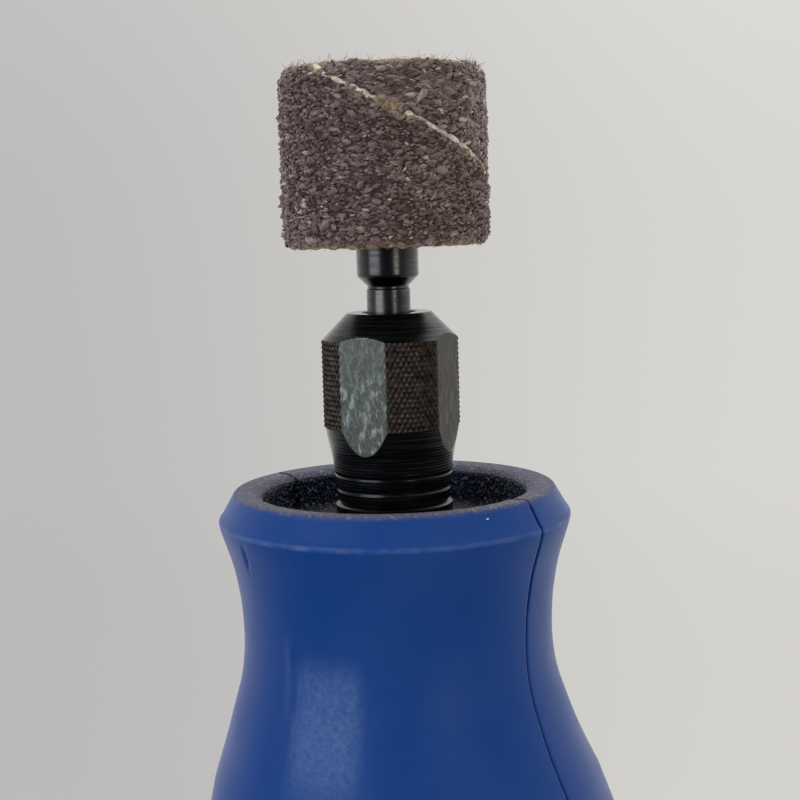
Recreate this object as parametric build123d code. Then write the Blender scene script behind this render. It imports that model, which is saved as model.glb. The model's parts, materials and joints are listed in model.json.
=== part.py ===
from build123d import *
import os
from math import cos, radians, sin

# Motor rotary tool with a sanding drum in its collet, standing on its tail with the nose up.
# Millimetres. +Z runs up the spindle axis, and the origin is the mouth of the cord gland in the tail.
# The two housing shells meet on the plane X = 0. -Y is the side with the lock button and speed dial.

# ---- driving dimensions -------------------------------------------------------------------------
RIM_Z = 182.0             # plane of the nose rim
WALL = 2.4                # housing wall
BODY_R = 25.5             # motor part of the housing
BODY_TOP_Z = 112.0        # where the housing starts to taper to the nose
TAIL_R = 20.0             # flat ring that the tool stands on
# radius and height along the nose, from the motor part up to the rim's underside
NOSE_LINE = [(BODY_R, BODY_TOP_Z), (24.4, 125.0), (20.3, 140.0), (17.2, 151.0), (14.45, 160.5),
             (12.32, 166.2), (11.45, 170.7), (11.78, 175.2), (12.7, 179.1)]
# radius and height over the rim, and round the tail
RIM_LINE = [(12.86, 179.6), (12.78, 180.1), (11.85, RIM_Z - 0.15), (11.6, RIM_Z), (0, RIM_Z)]
TAIL_LINE = [(0, 0), (TAIL_R, 0), (22.2, 0.9), (23.4, 3.2), (24.3, 12.0), (25.0, 26.0), (BODY_R, 40.0)]
CAVITY_TOP = 0.84         # share of the nose line that has the cavity behind it
RECESS_R = 9.65           # recess round the collet nut
RECESS_DEPTH = 2.8
FIT = 0.02                # radial gap of a pressed fit
RUN = 0.05                # radial gap of a running fit

SPINDLE_R = 4.0
SHAFT_R = 3.0             # armature shaft
SHANK_R = 1.5875          # 1/8 in accessory shank
NUT_R = 4.95              # over the knurl
NUT_FLAT = 4.57           # axis to spanner flat
NUT_FLAT_TURN = 12.5      # first spanner flat's direction, from +X towards +Y
NUT_BOTTOM_Z = RIM_Z - 0.9
NUT_TOP_Z = RIM_Z + 12.8
DRUM_BOTTOM_Z = RIM_Z + 17.55
SLEEVE_R = 7.4
SLEEVE_BORE_R = 6.75
SLEEVE_LENGTH = 12.7      # 1/2 in sanding sleeve

SPINDLE_BEARING = (4.0, 8.0, 5.0)     # bore radius, outer radius, width
MOTOR_BEARING = (3.0, 7.5, 5.0)
NOSE_BEARING_Z = 168.0
SPINDLE_REAR_BEARING_Z = 150.0
MOTOR_FRONT_BEARING_Z = 118.0
MOTOR_REAR_BEARING_Z = 38.0
STATOR_Z = (68.0, 100.0)
BRUSH_Z = 52.5
LOCK_Z = 143.0            # spindle lock button and its pin
DIAL_Y, DIAL_Z = -15.5, 22.0
SWITCH_Z = 22.0
CORD_R = 3.2              # bore of the cord gland
BAIL_Z = 9.0
BAIL_R = 26.2
BAIL_WIRE_R = 1.3
SCREWS = [(-8.6, 160.5), (8.6, 160.5), (-17.5, 127.0), (17.5, 127.0), (-14.5, 7.4), (14.5, 7.4)]
SCREW_R = 1.35
SCREW_HEAD_R = 2.7
SCREW_HEAD_HEIGHT = 1.8
SCREW_SINK = 6.0          # from the parting plane to the seat under the head

NODES = {}


# ---- shape helpers ------------------------------------------------------------------------------
def rod(r, z0, z1):
    """Cylinder on the spindle axis."""
    return Pos(0, 0, z0) * Cylinder(r, z1 - z0, align=(Align.CENTER, Align.CENTER, Align.MIN))


def ring(r_out, r_in, z0, z1):
    return rod(r_out, z0, z1) - rod(r_in, z0 - 1, z1 + 1)


def turned(points):
    """Solid of revolution about Z from a closed outline of (radius, z) corners."""
    outline = Polyline([(r, 0, z) for r, z in points], close=True)
    return revolve(make_face(outline), Axis.Z)


def block(x0, x1, y0, y1, z0, z1):
    return Pos((x0 + x1) / 2, (y0 + y1) / 2, (z0 + z1) / 2) * Box(x1 - x0, y1 - y0, z1 - z0)


def across(r, y, z, x0, x1):
    """Cylinder along X."""
    return Pos((x0 + x1) / 2, y, z) * Rot(0, 90, 0) * Cylinder(r, x1 - x0)


def inward(r, x, z, y0, y1):
    """Cylinder along Y."""
    return Pos(x, (y0 + y1) / 2, z) * Rot(90, 0, 0) * Cylinder(r, y1 - y0)


def wedge(r_in, r_out, middle, half, z0, z1):
    """Ring sector centred on an angle from +X, with half its opening angle."""
    reach = 2 * r_out
    corners = [(0, 0)]
    for turn in (middle - half, middle, middle + half):
        corners.append((reach * cos(radians(turn)), reach * sin(radians(turn))))
    pie = Pos(0, 0, z0) * extrude(make_face(Polyline(corners, close=True)), z1 - z0)
    return ring(r_out, r_in, z0, z1) & pie


def around(count, start=0.0):
    return [start + 360 * k / count for k in range(count)]


def spring(r, wire_r, length, turns):
    """Helical spring along +Z from the origin."""
    path = Helix(length / turns, length, r)
    return sweep(Plane(path @ 0, z_dir=path % 0) * Circle(wire_r), path=path)


def add(name, *solids):
    """One node from one or more solids."""
    NODES[name] = solids[0] if len(solids) == 1 else Compound(children=list(solids))


# ---- housing ------------------------------------------------------------------------------------
def nose_curve(offset):
    """Outer line of the nose from the motor part to the rim, moved inwards by an offset."""
    path = [(r - offset, 0, z) for r, z in NOSE_LINE]
    return Spline(path, tangents=[(0, 0, 1), (0.18, 0, 1)])


def housing_blank():
    """Outer shape of both shells together, without the rim's recess."""
    curve = nose_curve(0)
    corners = [(r, 0, z) for r, z in RIM_LINE + TAIL_LINE]
    rest = Polyline([curve @ 1] + corners + [curve @ 0])
    return revolve(make_face(Wire([curve] + list(rest.edges()))), Axis.Z)


def cavity():
    """Hollow inside the shells, less the webs that carry the bearings, motor and lock spring."""
    curve = nose_curve(WALL)
    top_r, top_z = 9.0, 163.5
    side = [(r - WALL, 0, z) for r, z in TAIL_LINE[4:]]
    floor = [(top_r, 0, top_z), (0, 0, top_z), (0, 0, 3.2), (20.6, 0, 3.2)]
    rest = Polyline([curve @ CAVITY_TOP] + floor + side + [curve @ 0])
    trimmed = curve.trim(0, CAVITY_TOP)
    hollow = revolve(make_face(Wire([trimmed] + list(rest.edges()))), Axis.Z)
    webs = [
        ring(30, SPINDLE_BEARING[1] + FIT,
             SPINDLE_REAR_BEARING_Z, SPINDLE_REAR_BEARING_Z + SPINDLE_BEARING[2]),
        ring(30, MOTOR_BEARING[1] + FIT, MOTOR_FRONT_BEARING_Z, MOTOR_FRONT_BEARING_Z + MOTOR_BEARING[2]),
        ring(30, 9.5 + FIT, MOTOR_REAR_BEARING_Z, MOTOR_REAR_BEARING_Z + MOTOR_BEARING[2]),
        ring(30, 20.5 + FIT, STATOR_Z[0] + 3, STATOR_Z[0] + 6),
        ring(30, 20.5 + FIT, STATOR_Z[1] - 6, STATOR_Z[1] - 3),
        block(-30, 30, -8.3, -7.1, LOCK_Z - 3.6, LOCK_Z + 6) - inward(2.0, 0, LOCK_Z, -9, -6),
    ]
    for side in (-1, 1):
        x0, x1 = sorted((side * 17.0, side * 30))
        webs.append(across(7.0, 0, BRUSH_Z, x0, x1))
    for y, z in SCREWS:
        webs.append(across(3.2, y, z, -30, 30))
    for web in webs:
        hollow = hollow - web
    return hollow


def housing():
    """The two moulded shells: nose, grip, motor cover and tail."""
    body = housing_blank() - cavity()
    cuts = [
        rod(RECESS_R, RIM_Z - RECESS_DEPTH, RIM_Z + 1),
        turned([(0, RIM_Z - 0.3), (RECESS_R, RIM_Z - 0.3),
                (RECESS_R + 0.35, RIM_Z + 0.01), (0, RIM_Z + 0.01)]),
        rod(4.75, 160, RIM_Z),
        rod(SPINDLE_BEARING[1] + FIT, NOSE_BEARING_Z, NOSE_BEARING_Z + SPINDLE_BEARING[2]),
        rod(7.5, 174.6, 176.6),
        rod(7.0, -1, 4),
        across(BAIL_WIRE_R + 0.08, 0, BAIL_Z, -30, 30),
        inward(5.0, 0, LOCK_Z, -30, -15),
        block(-2.9, 2.9, -30, -13, DIAL_Z - 10.7, DIAL_Z + 10.7),
        block(-2.5, 2.5, 18, 30, SWITCH_Z - 3.4, SWITCH_Z + 9.4),
    ]
    for side in (-1, 1):
        x0, x1 = sorted((side * 15.0, side * 30))
        cuts.append(block(x0, x1, -2.65, 2.65, BRUSH_Z - 3.65, BRUSH_Z + 3.65))
        x0, x1 = sorted((side * 21.4, side * 30))
        cuts.append(across(4.9, 0, BRUSH_Z, x0, x1))
    for y, z in SCREWS:
        cuts.append(across(SCREW_R + RUN, y, z, -5.0, 30))
        cuts.append(across(SCREW_HEAD_R + 0.2, y, z, SCREW_SINK, 30))
    for side in (0, 180):
        for angle in (-56, -34, 34, 56):
            vent = Rot(0, 0, side + angle) * Pos(BODY_R - 1, 0, 0) * Rot(18, 0, 0) * Box(8, 1.9, 9)
            cuts.append(Pos(0, 0, 110.0) * vent)
        for angle in (-48, -32, -16, 0, 16, 32, 48):
            cuts.append(Rot(0, 0, side + angle) * Pos(BODY_R - 2, 0, 24.0) * Box(8, 1.9, 11))
    for cut in cuts:
        body = body - cut
    return body


def make_housing():
    body = housing()
    add("housing_left", body & block(-40, 0, -40, 40, -10, 200))
    add("housing_right", body & block(0, 40, -40, 40, -10, 200))
    screws = []
    for y, z in SCREWS:
        head_top = SCREW_SINK + SCREW_HEAD_HEIGHT
        screw = across(SCREW_R, y, z, -4.8, SCREW_SINK) + across(SCREW_HEAD_R, y, z, SCREW_SINK, head_top)
        for turn in (0, 90):
            slot = Pos(head_top, y, z) * Rot(turn, 0, 0) * Box(1.6, 0.6, 3.2)
            screw = screw - slot
        screws.append(screw)
    add("housing_screws", *screws)
    add("nose_seal", ring(7.4, SPINDLE_R + 0.3, 174.8, 176.4))
    gland = turned([
        (CORD_R, 0), (6.9, 0), (6.9, 3.3), (8.6, 3.3), (8.6, 5.2), (4.6, 5.2), (4.6, 12.0), (CORD_R, 12.0)])
    add("cord_gland", gland)


# ---- bearings -----------------------------------------------------------------------------------
def make_bearing(name, size, z):
    """Deep-groove ball bearing as an outer ring, a caged set of balls and an inner ring."""
    bore, outer, width = size
    middle = (bore + outer) / 2
    ball_r = (outer - bore) * 0.27
    race = Pos(0, 0, z + width / 2) * Torus(middle, ball_r + 0.1)
    add(f"{name}_outer_ring", ring(outer, middle + 0.55 * ball_r, z, z + width) - race)
    add(f"{name}_inner_ring", ring(middle - 0.55 * ball_r, bore + FIT, z, z + width) - race)
    balls = []
    for angle in around(7):
        balls.append(Rot(0, 0, angle) * Pos(middle, 0, z + width / 2) * Sphere(ball_r))
    centre = z + width / 2
    cage = ring(middle + 0.3 * ball_r, middle - 0.3 * ball_r, centre - 0.5 * ball_r, centre + 0.5 * ball_r)
    for ball in balls:
        cage = cage + ball
    add(f"{name}_balls_and_cage", cage)


def make_bearings():
    make_bearing("nose_bearing", SPINDLE_BEARING, NOSE_BEARING_Z)
    make_bearing("spindle_rear_bearing", SPINDLE_BEARING, SPINDLE_REAR_BEARING_Z)
    make_bearing("motor_front_bearing", MOTOR_BEARING, MOTOR_FRONT_BEARING_Z)
    make_bearing("motor_rear_bearing", MOTOR_BEARING, MOTOR_REAR_BEARING_Z)
    z = MOTOR_REAR_BEARING_Z
    add("rear_bearing_bush", ring(9.5, MOTOR_BEARING[1] + FIT, z, z + MOTOR_BEARING[2]))


# ---- spindle, collet and nut --------------------------------------------------------------------
def make_spindle():
    body = turned([
        (0, 133), (SPINDLE_R, 133), (SPINDLE_R, 139.2), (6.5, 139.2), (6.5, 147.2), (SPINDLE_R, 147.2),
        (SPINDLE_R, 179.9), (4.3, 179.9), (4.3, 180.8), (3.95, 181.0), (3.95, 189.2), (3.75, 189.5),
        (3.3, 189.5), (2.55, 184.0), (2.55, 172.0), (1.8, 171.0), (1.8, 164.0), (0, 164.0)])
    add("spindle", body - inward(1.8, 0, LOCK_Z, -10, 10))


def make_collet():
    body = turned([
        (1.63, 172.5), (2.4, 172.5), (2.4, 184.0), (3.15, 189.5), (3.15, 190.3), (2.2, 192.9), (1.63, 192.9)])
    for turn in (0, 90):
        body = body - Rot(0, 0, turn) * block(-0.2, 0.2, -4, 4, 176.0, 194)
    add("collet", body)


def make_nut():
    """Collet nut with four spanner flats, knurled corners and an internal cone."""
    body = turned([
        (4.0, NUT_BOTTOM_Z), (4.12, NUT_BOTTOM_Z), (4.42, 184.0), (4.72, 185.4), (NUT_R, 186.6),
        (NUT_R, 192.9), (3.05, NUT_TOP_Z), (1.95, NUT_TOP_Z), (1.95, 193.8), (2.5, 193.3),
        (3.5, 190.4), (4.0, 190.2)])
    for turn in around(4, NUT_FLAT_TURN):
        flat = Rot(0, 0, turn) * block(NUT_FLAT, NUT_FLAT + 3, -4, 4, 184.6, 193.4)
        body = body - flat
    add("collet_nut", body)


# ---- sanding drum -------------------------------------------------------------------------------
def make_sanding_drum():
    base = DRUM_BOTTOM_Z
    mandrel = turned([
        (0, 166.0), (SHANK_R - 0.3, 166.0), (SHANK_R, 166.3), (SHANK_R, base - 2.95),
        (2.25, base - 2.15), (2.25, base), (2.0, base), (2.0, base + 5.0), (1.27, base + 5.0),
        (1.27, base - 0.5), (0, base - 0.5)])
    add("mandrel", mandrel)
    add("lower_drum_washer", ring(5.2, 2.02, base, base + 0.6))
    add("rubber_drum", ring(SLEEVE_BORE_R - RUN, 2.05, base + 0.6, base + 10.2))
    add("upper_drum_washer", ring(5.2, 1.4, base + 10.2, base + 10.8))
    screw = rod(1.25, base, base + 10.8) + rod(3.3, base + 10.8, base + 12.4)
    add("drum_screw", screw - block(-4, 4, -0.4, 0.4, base + 11.6, base + 13))
    add("sanding_sleeve", ring(SLEEVE_R, SLEEVE_BORE_R, base, base + SLEEVE_LENGTH))


# ---- drive coupling and fan ---------------------------------------------------------------------
def make_coupling():
    low, high = 129.0, 133.0
    front = ring(7.5, SPINDLE_R + FIT, high, 139.0)
    rear = ring(7.5, SHAFT_R + FIT, 124.2, low)
    spider = ring(7.4, 3.3, low, high)
    for angle in around(3):
        front = front + wedge(4.5, 7.5, angle, 18, low + 0.2, high)
        spider = spider - wedge(4.5, 9.0, angle, 18.3, low - 1, high + 1)
    for angle in around(3, 60):
        rear = rear + wedge(4.5, 7.5, angle, 18, low, high - 0.2)
        spider = spider - wedge(4.5, 9.0, angle, 18.3, low - 1, high + 1)
    add("coupling_front_hub", front)
    add("coupling_rear_hub", rear)
    add("coupling_spider", spider)


def make_fan():
    fan = ring(17.5, SHAFT_R + FIT, 108.6, 109.8) + ring(5.5, SHAFT_R + FIT, 108.6, 116.0)
    for angle in around(10):
        fan = fan + Rot(0, 0, angle) * (Pos(11.2, 0, 112.6) * Rot(0, 0, 24) * Box(11.5, 1.1, 6.0))
    add("cooling_fan", fan)
    add("fan_baffle", ring(22.9, 18.4, 106.2, 107.6))


# ---- motor --------------------------------------------------------------------------------------
def make_armature():
    z0, z1 = STATOR_Z
    add("armature_shaft", rod(SHAFT_R, 35.0, 129.0))
    core = ring(11.5, SHAFT_R + FIT, z0, z1)
    winding = ring(10.2, 4.4, 61.5, z0) + ring(10.2, 4.4, z1, 105.0)
    for angle in around(12):
        slot = block(6.4, 10.4, -1.2, 1.2, z0 - 1, z1 + 1) + block(10, 12, -0.5, 0.5, z0 - 1, z1 + 1)
        core = core - Rot(0, 0, angle) * slot
        winding = winding + Rot(0, 0, angle) * block(6.6, 9.9, -1.1, 1.1, z0 - 1, z1 + 1)
    add("armature_core", core)
    add("armature_winding", winding)
    copper = ring(8.0, SHAFT_R + FIT, 46.0, 59.0) + ring(8.7, SHAFT_R + FIT, 59.0, 60.5)
    for angle in around(24):
        copper = copper - Rot(0, 0, angle) * block(7.2, 9, -0.2, 0.2, 45, 61)
    add("commutator", copper)


def make_stator():
    z0, z1 = STATOR_Z
    core = ring(20.5, 12.1, z0, z1)
    for side in (0, 180):
        core = core - wedge(11, 16.6, side, 30, z0 - 1, z1 + 1)
    add("stator_core", core)
    coils = []
    for side in (0, 180):
        coil = wedge(12.6, 16.3, side + 90, 84, 62.0, 66.6) + wedge(12.6, 16.3, side + 90, 84, 101.4, 105.6)
        for bar in (-73.5, 73.5):
            coil = coil + wedge(12.6, 16.3, side + 90 + bar, 10.5, 62.0, 105.6)
        coils.append(coil)
    add("field_coils", *coils)


def make_brushes():
    holders, caps, brushes, springs = [], [], [], []
    for side in (-1, 1):
        turn = Rot(0, 0, 0 if side > 0 else 180)
        tube = block(9.6, 21.2, -2.6, 2.6, BRUSH_Z - 3.6, BRUSH_Z + 3.6)
        holders.append(turn * (tube - block(9, 22, -2.1, 2.1, BRUSH_Z - 3.1, BRUSH_Z + 3.1)))
        face = rod(8.06, BRUSH_Z - 5, BRUSH_Z + 5)
        brushes.append(turn * (block(7.8, 16.6, -2.0, 2.0, BRUSH_Z - 3.0, BRUSH_Z + 3.0) - face))
        cap = across(4.85, 0, BRUSH_Z, 21.5, 25.0) - block(24.0, 26, -0.6, 0.6, BRUSH_Z - 6, BRUSH_Z + 6)
        caps.append(turn * cap)
        coil = Pos(16.9, 0, BRUSH_Z) * Rot(0, 90, 0) * spring(1.5, 0.2, 4.1, 5)
        springs.append(turn * coil)
    add("brush_holders", *holders)
    add("carbon_brushes", *brushes)
    add("brush_caps", *caps)
    add("brush_springs", *springs)


# ---- controls -----------------------------------------------------------------------------------
def make_lock_button():
    face_y = -20.2
    button = inward(4.7, 0, LOCK_Z, face_y, -14.6) + inward(5.9, 0, LOCK_Z, -14.6, -13.4)
    dish = Pos(0, face_y - 14.2, LOCK_Z) * Sphere(14.8)
    button = button - dish - inward(1.52, 0, LOCK_Z, -17.0, -13)
    add("spindle_lock_button", button)
    add("lock_pin", inward(1.5, 0, LOCK_Z, -16.9, -7.0))
    coil = Pos(0, -13.1, LOCK_Z) * Rot(-90, 0, 0) * spring(2.6, 0.3, 4.4, 4)
    add("lock_spring", coil)


def make_switch():
    z = SWITCH_Z
    pad = block(-4.5, 4.5, 25.7, 27.6, z - 5, z + 5)
    for step in (-3.2, -1.6, 0, 1.6, 3.2):
        pad = pad + block(-4.0, 4.0, 27.5, 28.1, z + step - 0.35, z + step + 0.35)
    neck = block(-2.1, 2.1, 20.2, 25.8, z - 3, z + 3)
    add("power_slider", pad + neck + block(-3.8, 3.8, 20.2, 21.0, z - 9, z + 8))
    add("switch_body", block(-6.5, 6.5, 10.5, 19.9, z - 9, z + 14.5))


def make_speed_control():
    dial = across(10.3, DIAL_Y, DIAL_Z, -2.4, 2.4)
    for angle in around(24):
        dial = dial - Pos(0, DIAL_Y, DIAL_Z) * Rot(angle, 0, 0) * Pos(0, 0, 10.3) * Box(6, 0.7, 0.7)
    add("speed_dial", dial - across(1.55, DIAL_Y, DIAL_Z, -4, 4))
    knob_shaft = across(1.5, DIAL_Y, DIAL_Z, -2.4, 3.4)
    add("speed_potentiometer", across(5.0, DIAL_Y, DIAL_Z, 3.0, 8.5) + knob_shaft)
    add("speed_board", block(8.52, 10.1, -17.0, 13.5, 12.5, 34.0))
    add("suppression_capacitor", block(-15.5, -8.5, -7.0, 8.5, 14.0, 31.0))


def make_bail():
    """Wire hanging bail that folds round the back of the tail and swings down to hang the tool up."""
    arc = Pos(0, 0, BAIL_Z) * Torus(BAIL_R, BAIL_WIRE_R) & block(-40, 40, 0, 40, 0, 20)
    bail = arc
    for side in (-1, 1):
        x0, x1 = sorted((side * 21.8, side * (BAIL_R + BAIL_WIRE_R)))
        bail = bail + across(BAIL_WIRE_R, 0, BAIL_Z, x0, x1)
    add("hanging_bail", bail)


make_housing()
make_bearings()
make_spindle()
make_collet()
make_nut()
make_sanding_drum()
make_coupling()
make_fan()
make_armature()
make_stator()
make_brushes()
make_lock_button()
make_switch()
make_speed_control()
make_bail()

os.makedirs("parts", exist_ok=True)
for name, shape in NODES.items():
    export_step(shape, f"parts/{name}.step")
print(len(NODES), "nodes")
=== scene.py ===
import bpy
import bmesh
import json
import math
import random
import numpy as np
from mathutils import Matrix, Vector, noise
from mathutils.geometry import tessellate_polygon


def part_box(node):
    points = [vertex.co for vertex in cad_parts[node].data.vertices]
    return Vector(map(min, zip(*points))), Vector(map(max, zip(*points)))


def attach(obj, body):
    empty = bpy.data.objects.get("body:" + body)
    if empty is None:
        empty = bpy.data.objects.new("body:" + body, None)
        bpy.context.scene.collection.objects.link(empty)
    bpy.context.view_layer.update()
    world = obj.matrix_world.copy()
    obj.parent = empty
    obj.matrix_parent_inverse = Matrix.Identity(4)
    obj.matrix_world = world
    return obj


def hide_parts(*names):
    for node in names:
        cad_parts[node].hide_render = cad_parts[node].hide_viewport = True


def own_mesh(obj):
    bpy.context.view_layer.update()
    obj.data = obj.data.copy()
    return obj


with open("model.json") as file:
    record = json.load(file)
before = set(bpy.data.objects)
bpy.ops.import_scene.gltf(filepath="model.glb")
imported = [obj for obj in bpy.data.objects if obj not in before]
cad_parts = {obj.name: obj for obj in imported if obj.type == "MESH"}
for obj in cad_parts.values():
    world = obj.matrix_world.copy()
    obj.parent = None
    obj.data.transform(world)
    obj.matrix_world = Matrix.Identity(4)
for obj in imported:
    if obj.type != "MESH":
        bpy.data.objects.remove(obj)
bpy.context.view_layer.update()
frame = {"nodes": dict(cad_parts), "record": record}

MM = 0.001
random.seed(7)
rng = np.random.default_rng(7)

# Heights and radii in millimetres, read from the frame.
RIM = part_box("housing_left")[1][2] / MM
NUT_LOW, NUT_HIGH = (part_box("collet_nut")[k][2] / MM for k in (0, 1))
SLEEVE_LOW, SLEEVE_HIGH = (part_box("sanding_sleeve")[k][2] / MM for k in (0, 1))
SLEEVE_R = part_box("sanding_sleeve")[1][0] / MM
DRUM_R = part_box("rubber_drum")[1][0] / MM
SLEEVE_OUT, SLEEVE_IN = SLEEVE_R - 0.17, DRUM_R + 0.07     # backing under the grit, and its bore
KNURL_LOW, KNURL_HIGH = NUT_LOW + 5.5, NUT_HIGH - 1.9
BODY_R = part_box("housing_right")[1][0] / MM

# Heights of the controls.
LOCK_Z, BRUSH_Z, CONTROLS_Z, BAIL_Z = 143.0, 52.5, 22.0, 9.0

VIEW_AZIMUTH = -52.0                        # seen from this side, the parting line is on the right
FACING = 270.0 + VIEW_AZIMUTH               # angle about +Z, from +X, that faces the camera


# ---- mesh helpers (millimetres in, metres in the mesh) ---------------------------------------------
def placed(name, data):
    """A new object in the scene."""
    obj = bpy.data.objects.new(name, data)
    bpy.context.scene.collection.objects.link(obj)
    return obj


def bearing(turn, length=1.0):
    """Vector of a length, level, at an angle in degrees about +Z."""
    return Vector((length * math.cos(math.radians(turn)), length * math.sin(math.radians(turn)), 0))


def apart(turn, other):
    """Degrees from one direction to another, between -180 and 180."""
    return (turn - other + 180) % 360 - 180


def from_bmesh(name, work):
    """A new object that takes over a bmesh."""
    mesh = bpy.data.meshes.new(name)
    work.to_mesh(mesh)
    work.free()
    return placed(name, mesh)


def mesh_object(name, verts, faces, sharp=35):
    mesh = bpy.data.meshes.new(name)
    mesh.from_pydata([(x * MM, y * MM, z * MM) for x, y, z in verts], [], faces)
    mesh.validate()
    work = bmesh.new()
    work.from_mesh(mesh)
    bmesh.ops.remove_doubles(work, verts=work.verts, dist=1e-8)
    bmesh.ops.recalc_face_normals(work, faces=work.faces)
    work.to_mesh(mesh)
    work.free()
    obj = placed(name, mesh)
    shade(obj, sharp)
    return obj


def shade(obj, sharp=35):
    obj.data.shade_smooth()
    obj.data.set_sharp_from_angle(angle=math.radians(sharp))


def applied(obj):
    """Bakes an object's modifiers into its mesh."""
    graph = bpy.context.evaluated_depsgraph_get()
    mesh = bpy.data.meshes.new_from_object(obj.evaluated_get(graph))
    obj.modifiers.clear()
    obj.data = mesh
    return obj


def combined(obj, tool, operation):
    """Applies a boolean with a tool mesh, which is then removed."""
    change = obj.modifiers.new("combine", "BOOLEAN")
    change.operation = operation
    change.solver = "EXACT"
    change.object = tool
    applied(obj)
    bpy.data.objects.remove(tool)
    return obj


def rounded(points, radius, steps=4, closed=False):
    """A corner list with each corner turned into a short curve."""
    out = []
    count = len(points)
    for i, p in enumerate(points):
        if not closed and i in (0, count - 1):
            out.append(tuple(p))
            continue
        a, b, c = (np.array(points[k % count], float) for k in (i - 1, i, i + 1))
        r = radius[i] if isinstance(radius, (list, tuple)) else radius
        ra = min(r, 0.45 * np.linalg.norm(a - b))
        rc = min(r, 0.45 * np.linalg.norm(c - b))
        start = b + (a - b) / np.linalg.norm(a - b) * ra
        end = b + (c - b) / np.linalg.norm(c - b) * rc
        for k in range(steps + 1):
            t = k / steps
            out.append(tuple((1 - t) ** 2 * start + 2 * t * (1 - t) * b + t * t * end))
    return out


def flowing(points, spacing):
    """A smooth line through points, sampled about evenly."""
    pts = [np.array(p, float) for p in points]
    pts = [2 * pts[0] - pts[1]] + pts + [2 * pts[-1] - pts[-2]]
    out = [tuple(pts[1])]
    for i in range(1, len(pts) - 2):
        a, b, c, d = pts[i - 1:i + 3]
        steps = max(1, int(round(np.linalg.norm(c - b) / spacing)))
        for k in range(1, steps + 1):
            t = k / steps
            out.append(tuple(0.5 * (2 * b + (c - a) * t + (2 * a - 5 * b + 4 * c - d) * t * t
                                    + (3 * b - a - 3 * c + d) * t ** 3)))
    return out


def lathe(name, profile, segments=96, closed=True, change=None, sharp=35):
    """Turns a (radius, z) line about Z. change(radius, z, angle) gives a new radius."""
    verts, faces = [], []
    count = len(profile)
    for s in range(segments):
        angle = 2 * math.pi * s / segments
        for r, z in profile:
            if change:
                r = change(r, z, angle)
            verts.append((r * math.cos(angle), r * math.sin(angle), z))
    for s in range(segments):
        n = (s + 1) % segments
        for i in range(count if closed else count - 1):
            j = (i + 1) % count
            faces.append((s * count + i, n * count + i, n * count + j, s * count + j))
    return mesh_object(name, verts, faces, sharp)


def rounded_box(name, low, high, radius, segments=3):
    work = bmesh.new()
    bmesh.ops.create_cube(work, size=1.0)
    size = [h - l for l, h in zip(low, high)]
    middle = [(h + l) / 2 for l, h in zip(low, high)]
    for v in work.verts:
        v.co = Vector([(c * s + m) * MM for c, s, m in zip(v.co, size, middle)])
    bmesh.ops.bevel(work, geom=list(work.edges), offset=radius * MM, segments=segments, profile=0.5,
                    affect="EDGES")
    obj = from_bmesh(name, work)
    shade(obj, 50)
    return obj


def joined(name, objects):
    """One object from several, keeping their materials apart."""
    work = bmesh.new()
    slots = []
    for obj in objects:
        obj.data.transform(obj.matrix_world)
        start = len(work.faces)
        work.from_mesh(obj.data)
        work.faces.ensure_lookup_table()
        own = list(obj.data.materials) or [None]
        for m in own:
            if m not in slots:
                slots.append(m)
        for f in work.faces[start:]:
            f.material_index = slots.index(own[min(f.material_index, len(own) - 1)])
    for obj in objects:
        bpy.data.objects.remove(obj)
    out = from_bmesh(name, work)
    for m in slots:
        if m:
            out.data.materials.append(m)
    return out


def tube_faces(rings, sides):
    """Faces of a capped tube whose rings of vertices follow each other."""
    faces = []
    for i in range(rings - 1):
        for k in range(sides):
            m = (k + 1) % sides
            faces.append((i * sides + k, i * sides + m, (i + 1) * sides + m, (i + 1) * sides + k))
    faces.append(tuple(range(sides))[::-1])
    faces.append(tuple((rings - 1) * sides + k for k in range(sides)))
    return faces


def prism(outline, frame_matrix, depth):
    """A closed outline in the frame's XY plane, pushed along the frame's Z by depth."""
    n = len(outline)
    verts = [frame_matrix @ Vector((x, y, z)) for z in (0, depth) for x, y in outline]
    faces = [tuple(range(n))[::-1], tuple(range(n, 2 * n))]
    faces += [(i, (i + 1) % n, n + (i + 1) % n, n + i) for i in range(n)]
    return [tuple(v) for v in verts], faces


def stadium(width, length, steps=8):
    half, r = length / 2 - width / 2, width / 2
    out = []
    for side, start in ((1, 0), (-1, math.pi)):
        for k in range(steps + 1):
            a = start + math.pi * k / steps
            out.append((r * math.cos(a), side * half + r * math.sin(a)))
    return out


def circle(r, steps=32):
    angles = [2 * math.pi * k / steps for k in range(steps)]
    return [(r * math.cos(a), r * math.sin(a)) for a in angles]


def looking(origin, out, up=(0, 0, 1)):
    """Frame at a point with Z along out and Y near up."""
    z = Vector(out).normalized()
    x = Vector(up).cross(z).normalized()
    y = z.cross(x)
    m = Matrix((x, y, z)).transposed().to_4x4()
    m.translation = Vector(origin)
    return m


def turned_along(obj, origin, out):
    """Moves a piece turned about Z so that its axis points along out from an origin in millimetres."""
    obj.data.transform(looking(Vector(origin) * MM, out))
    return obj


def finish_piece(obj, body, slot, material, *nodes):
    """Gives a piece its material and body, and hides the nodes it takes the place of. The slot is not used.
    """
    if material is not None:
        obj.data.materials.clear()
        obj.data.materials.append(material)
    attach(obj, body)
    if nodes:
        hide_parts(*nodes)
    return obj


def plain_piece(obj, body, slot, *nodes):
    """A finished piece that takes its slot's own material."""
    return finish_piece(obj, body, slot, MATERIALS[slot], *nodes)


# ---- materials -------------------------------------------------------------------------------------
def srgb(r, g, b):
    linear = [((c / 255 + 0.055) / 1.055) ** 2.4 if c > 10 else c / 255 / 12.92 for c in (r, g, b)]
    return (*linear, 1.0)


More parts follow.
